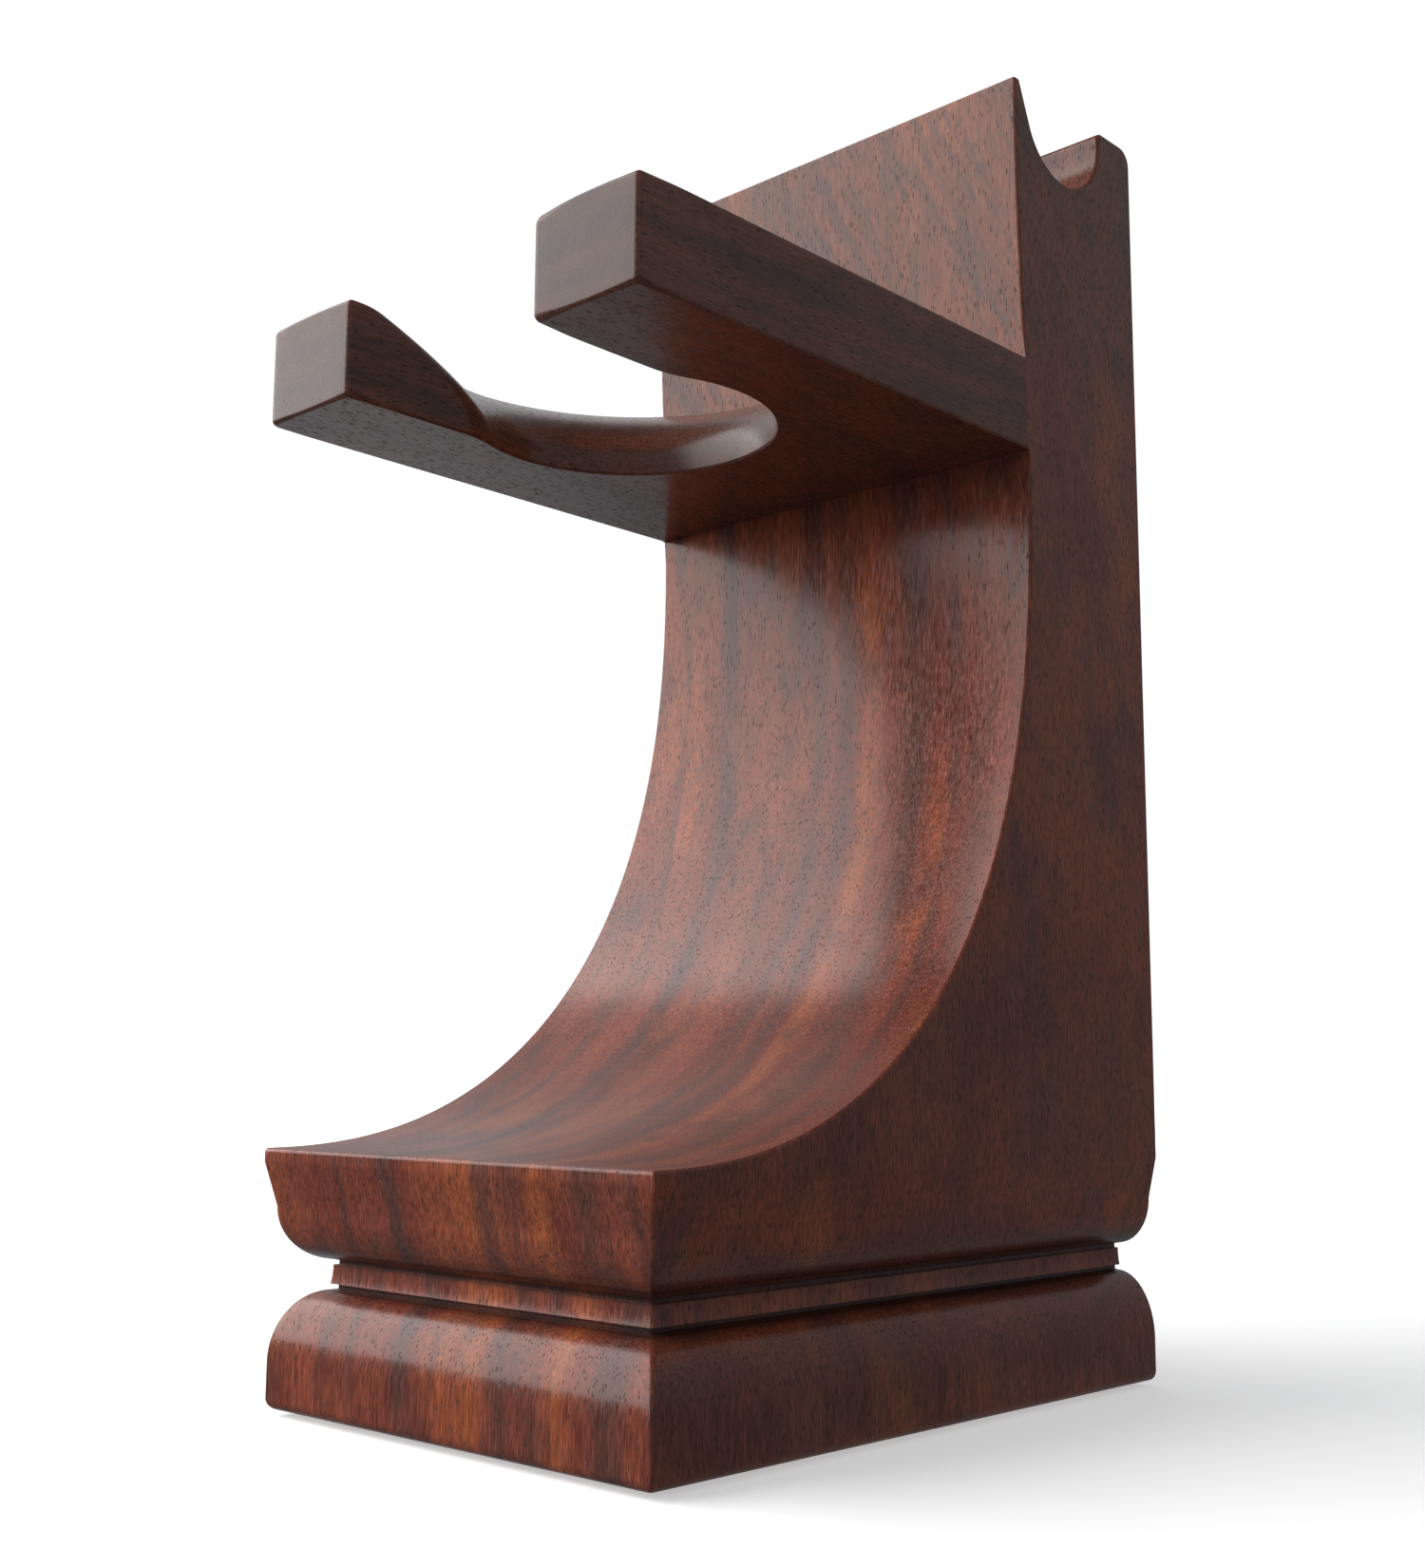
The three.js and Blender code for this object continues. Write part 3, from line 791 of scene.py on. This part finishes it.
# ---------------------------------------------------------------- stage, light and camera
# A tall window at the left front, as wide as the sheen on the scoop shows, in a dim room.
WINDOW_AZIMUTH = -49.0
WINDOW_DISTANCE = 1.0
WINDOW_SIZE = (1.62, 1.7)
WINDOW_LOW = 0.11
WINDOW_RADIANCE = 3.5
WINDOW_TURN = 0.2                # how far towards the stand's axis the window looks
WINDOW_TONE = (1.0, 0.985, 0.97)
FAR_AZIMUTH, FAR_ELEVATION, FAR_DISTANCE = -120, 31, 1.3
FAR_SIZE = (1.6, 1.0)
FAR_RADIANCE = 0.30
ROOM_TONE = (0.92, 0.96, 1.0, 1.0)
ROOM_LOW, ROOM_HIGH, CEILING = 0.20, 0.42, 0.18
TABLE_AZIMUTH, TABLE_ELEVATION = -116, -17      # the part of the table that the fork mirrors
TABLE_GLOW = 0.4
BACKDROP = 1.05                 # the white that the camera sees
FLOOR_GLOW = 0.45               # near the stand, and it rises to 1 further out


def build_floor():
    """A pale table. It takes the stand's shadow but throws no light back at it."""
    s = Shader("pale_floor")
    place = s.place_mm()
    tone = s.noise(s.stretched(place, (0.004, 0.004, 0.004)), detail=2)
    s.put(s.surface.inputs["Base Color"], s.mix(tone, rgb(0.86, 0.86, 0.86), rgb(0.90, 0.90, 0.90)))
    s.surface.inputs["Roughness"].default_value = 0.9
    s.surface.inputs["Specular IOR Level"].default_value = 0.1
    s.surface.inputs["Emission Color"].default_value = rgb(1, 1, 1)
    centre = s.add("ShaderNodeVectorMath", {0: place}, operation="LENGTH").outputs["Value"]
    s.put(s.surface.inputs["Emission Strength"], s.ramp(centre, 150, 900, FLOOR_GLOW, 1.0))
    bm = bmesh.new()
    reach = 6000.0
    bm.faces.new([bm.verts.new((x * reach, y * reach, 0.0))
                  for x, y in ((-1, -1), (1, -1), (1, 1), (-1, 1))])
    floor = new_object("floor", bm, s.material, 60)
    floor.visible_diffuse = False
    floor.visible_glossy = False


def add_light(name, place, target, size, radiance, colour=(1, 1, 1)):
    """A rectangular panel at a place, facing a target, that the camera doesn't see."""
    data = bpy.data.lights.new(name, "AREA")
    data.shape = "RECTANGLE"
    data.size, data.size_y = size
    data.energy = radiance * math.pi * size[0] * size[1]
    data.color = colour
    obj = bpy.data.objects.new(name, data)
    obj.location = place
    obj.rotation_euler = (Vector(target) - Vector(place)).to_track_quat("-Z", "Y").to_euler()
    bpy.context.scene.collection.objects.link(obj)
    obj.visible_camera = False


def around(azimuth, elevation, distance):
    """A place round the stand: azimuth 0 is in front, and positive goes to the right."""
    a, e = math.radians(azimuth), math.radians(elevation)
    return (distance * math.sin(a) * math.cos(e), -distance * math.cos(a) * math.cos(e),
            distance * math.sin(e))


build_floor()
window_x, window_y, _ = around(WINDOW_AZIMUTH, 0, WINDOW_DISTANCE)
window_z = WINDOW_LOW + WINDOW_SIZE[1] / 2
add_light("window", (window_x, window_y, window_z),
          (window_x * WINDOW_TURN, window_y * WINDOW_TURN, window_z),
          WINDOW_SIZE, WINDOW_RADIANCE, WINDOW_TONE)
add_light("far_wall", around(FAR_AZIMUTH, FAR_ELEVATION, FAR_DISTANCE), (0, 0, 0.04),
          FAR_SIZE, FAR_RADIANCE)

world = bpy.data.worlds.new("soft_room")
world.use_nodes = True
room = world.node_tree
dim = room.nodes["Background"]
dim.inputs["Color"].default_value = ROOM_TONE
direction = room.nodes.new("ShaderNodeTexCoord").outputs["Generated"]


def room_ramp(value, low, high, to_low, to_high):
    node = room.nodes.new("ShaderNodeMapRange")
    node.interpolation_type = "SMOOTHSTEP"
    for socket, number in enumerate((low, high, to_low, to_high), 1):
        node.inputs[socket].default_value = number
    room.links.new(value, node.inputs[0])
    return node.outputs[0]


def room_math(operation, a, b):
    node = room.nodes.new("ShaderNodeMath")
    node.operation = operation
    room.links.new(a, node.inputs[0])
    room.links.new(b, node.inputs[1])
    return node.outputs[0]


apart = room.nodes.new("ShaderNodeSeparateXYZ")
room.links.new(direction, apart.inputs[0])
level_glow = room_math("MULTIPLY", room_ramp(apart.outputs["Z"], -0.2, 0.6, ROOM_LOW, ROOM_HIGH),
                       room_ramp(apart.outputs["Z"], 0.65, 0.95, 1.0, CEILING))
facing_table = room.nodes.new("ShaderNodeVectorMath")
facing_table.operation = "DOT_PRODUCT"
facing_table.inputs[1].default_value = around(TABLE_AZIMUTH, TABLE_ELEVATION, 1.0)
room.links.new(direction, facing_table.inputs[0])
table_glow = room_ramp(facing_table.outputs["Value"], 0.93, 0.985, 0.0, TABLE_GLOW)
room.links.new(room_math("ADD", level_glow, table_glow), dim.inputs["Strength"])
white = room.nodes.new("ShaderNodeBackground")
white.inputs["Color"].default_value = rgb(1, 1, 1)
white.inputs["Strength"].default_value = BACKDROP
chosen = room.nodes.new("ShaderNodeMixShader")
room.links.new(room.nodes.new("ShaderNodeLightPath").outputs["Is Camera Ray"], chosen.inputs[0])
room.links.new(dim.outputs[0], chosen.inputs[1])
room.links.new(white.outputs[0], chosen.inputs[2])
room.links.new(chosen.outputs[0], room.nodes["World Output"].inputs["Surface"])
bpy.context.scene.world = world

CAMERA_PLACE = Vector((0.13314, -0.14429, 0.03357))
CAMERA_AZIMUTH = math.radians(43.073)
CAMERA_ELEVATION = math.radians(8.519)
CAMERA_ROLL = math.radians(0.366)
FOCAL_PIXELS = 1975.5
SENSOR = 36.0                   # millimetres, along the picture's longer side
PICTURE_HEIGHT = 1650.0

ahead = Vector((-math.sin(CAMERA_AZIMUTH) * math.cos(CAMERA_ELEVATION),
                math.cos(CAMERA_AZIMUTH) * math.cos(CAMERA_ELEVATION),
                math.sin(CAMERA_ELEVATION)))
level_right = Vector((math.cos(CAMERA_AZIMUTH), math.sin(CAMERA_AZIMUTH), 0))
level_up = level_right.cross(ahead)
right = level_right * math.cos(CAMERA_ROLL) + level_up * math.sin(CAMERA_ROLL)
up = level_up * math.cos(CAMERA_ROLL) - level_right * math.sin(CAMERA_ROLL)
camera_data = bpy.data.cameras.new("camera")
camera_data.sensor_width = SENSOR
camera_data.lens = SENSOR * FOCAL_PIXELS / PICTURE_HEIGHT
camera_data.clip_start, camera_data.clip_end = 0.005, 20.0
camera = bpy.data.objects.new("camera", camera_data)
camera.matrix_world = Matrix.Translation(CAMERA_PLACE) @ Matrix(
    (right, up, -ahead)).transposed().to_4x4()
bpy.context.scene.collection.objects.link(camera)
bpy.context.scene.camera = camera
bpy.context.scene.view_settings.view_transform = "Standard"
